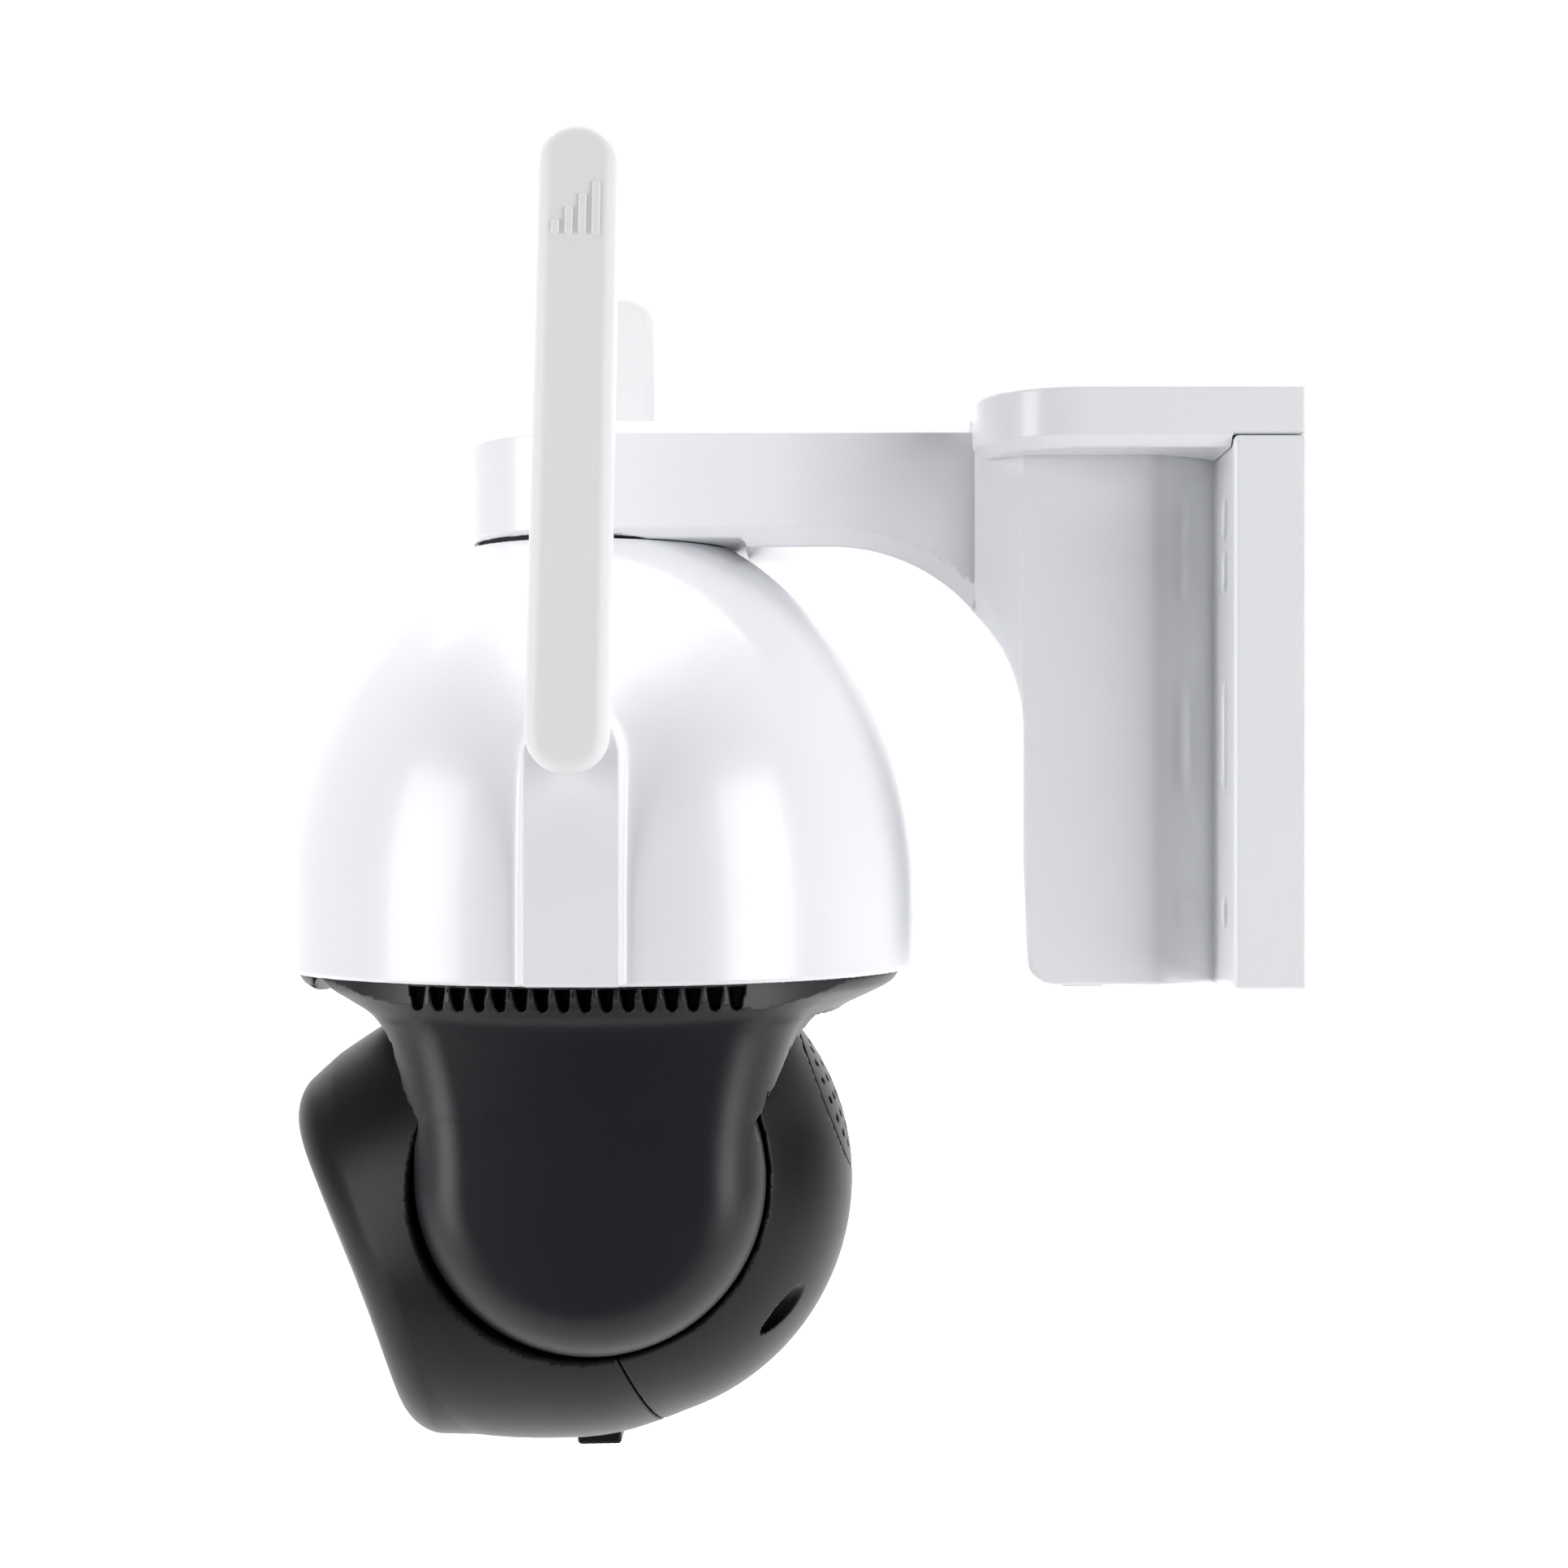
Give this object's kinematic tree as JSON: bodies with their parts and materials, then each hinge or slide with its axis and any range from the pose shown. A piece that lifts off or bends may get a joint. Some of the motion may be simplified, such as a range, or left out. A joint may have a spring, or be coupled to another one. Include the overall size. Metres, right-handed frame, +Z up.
{
  "type": "security camera",
  "caption": "Wall-mounted pan and tilt security camera: a round head in a yoke under a dome, with swinging antennas and an arched bracket arm.",
  "frame": {"origin": "middle of the bracket's back face, where it meets the wall", "axes": "+X into the wall, -X towards the camera, +Z up, +Y to the far side, away from the viewer of the picture"},
  "size_m": [0.1862, 0.1418, 0.2368],
  "materials": {
    "white_gloss": "satin to gloss",
    "white_satin": "satin",
    "black_satin": "fine grained satin",
    "black_inner": "matte",
    "nylon": "satin",
    "steel": "zinc plated",
    "rubber": "matte",
    "board": "solder mask",
    "window": "smoked and polished",
    "lens_glass": "coated",
    "lamp": "clear over phosphor"
  },
  "bodies": {
    "root": {"bracket_body": "white_gloss", "bracket_hood": "white_gloss", "cable_grommet": "white_satin", "dome_shell": "white_gloss", "dome_gasket": "rubber", "cap_screw_1": "steel", "cap_screw_2": "steel", "cap_screw_3": "steel", "base_plate": "black_inner", "base_screw_1": "steel", "base_screw_2": "steel", "base_screw_3": "steel", "pan_bearing": "steel", "pan_motor": "steel", "main_board": "board", "processor_shield": "steel", "radio_shield": "steel", "antenna_pin_near": "steel", "antenna_pin_far": "steel"},
    "pan": {"turntable_yoke": "black_satin", "pan_gear": "nylon", "tilt_motor": "steel", "yoke_cover_near": "black_inner", "yoke_cover_far": "black_inner", "tilt_bush_near": "nylon", "tilt_bush_far": "nylon"},
    "pan_pinion": {"pan_pinion": "nylon"},
    "tilt_pinion": {"tilt_pinion": "nylon"},
    "head": {"head_rear_shell": "black_satin", "head_front_shell": "black_satin", "speaker_grille": "black_satin", "speaker": "black_inner", "tilt_gear": "nylon", "trunnion_near": "black_inner", "trunnion_far": "black_inner", "front_window": "window", "lamp_board": "board", "lamp_1": "lamp", "lamp_2": "lamp", "lamp_3": "lamp", "lamp_4": "lamp", "light_sensor": "lens_glass", "lens_barrel": "black_inner", "lens_front_element": "lens_glass", "lens_rear_element": "lens_glass", "lens_holder": "black_inner", "image_sensor": "lens_glass", "sensor_board": "board", "head_chassis": "black_inner", "head_screw_1": "steel", "head_screw_2": "steel", "head_screw_3": "steel", "head_screw_4": "steel", "service_board": "board", "card_socket": "steel"},
    "antenna_near": {"antenna_near": "white_satin"},
    "antenna_far": {"antenna_far": "white_satin"},
    "card_cover": {"card_cover": "black_satin"},
    "reset_button": {"reset_button": "black_inner"}
  },
  "joints": [
    {"name": "pan", "type": "hinge", "parent": "root", "child": "pan", "pos_m": [-0.1263, 0, -0.03], "axis": [0, 0, 1], "range_deg": [-175, 175]},
    {"name": "tilt", "type": "hinge", "parent": "pan", "child": "head", "pos_m": [-0.1253, 0, -0.08715], "axis": [0, -1, 0], "range_deg": [-13, 69]},
    {"name": "pan_pinion_spin", "type": "hinge", "parent": "root", "child": "pan_pinion", "pos_m": [-0.1588, 0, -0.026], "axis": [0, 0, 1], "range_deg": [-590, 590]},
    {"name": "tilt_pinion_spin", "type": "hinge", "parent": "pan", "child": "tilt_pinion", "pos_m": [-0.1253, 0.034, -0.07215], "axis": [0, -1, 0], "range_deg": [-145, 45]},
    {"name": "antenna_near_swing", "type": "hinge", "parent": "root", "child": "antenna_near", "pos_m": [-0.1263, -0.066, -0.00865], "axis": [0, 1, 0], "range_deg": [-90, 90]},
    {"name": "antenna_far_swing", "type": "hinge", "parent": "root", "child": "antenna_far", "pos_m": [-0.1263, 0.066, -0.00865], "axis": [0, 1, 0], "range_deg": [-90, 90]},
    {"name": "card_cover_open", "type": "hinge", "parent": "head", "child": "card_cover", "pos_m": [-0.13733, 0, -0.14232], "axis": [0, 1, 0], "range_deg": [0, 75]},
    {"name": "reset_press", "type": "slide", "parent": "head", "child": "reset_button", "axis": [-0.3584, 0, 0.9336], "range_m": [0, 0.0005], "stiffness_N_per_m": 200}
  ],
  "couplings": [
    {"joint": "pan_pinion_spin", "follows": "pan", "ratio": -3.3333},
    {"joint": "tilt_pinion_spin", "follows": "tilt", "ratio": -2}
  ]
}
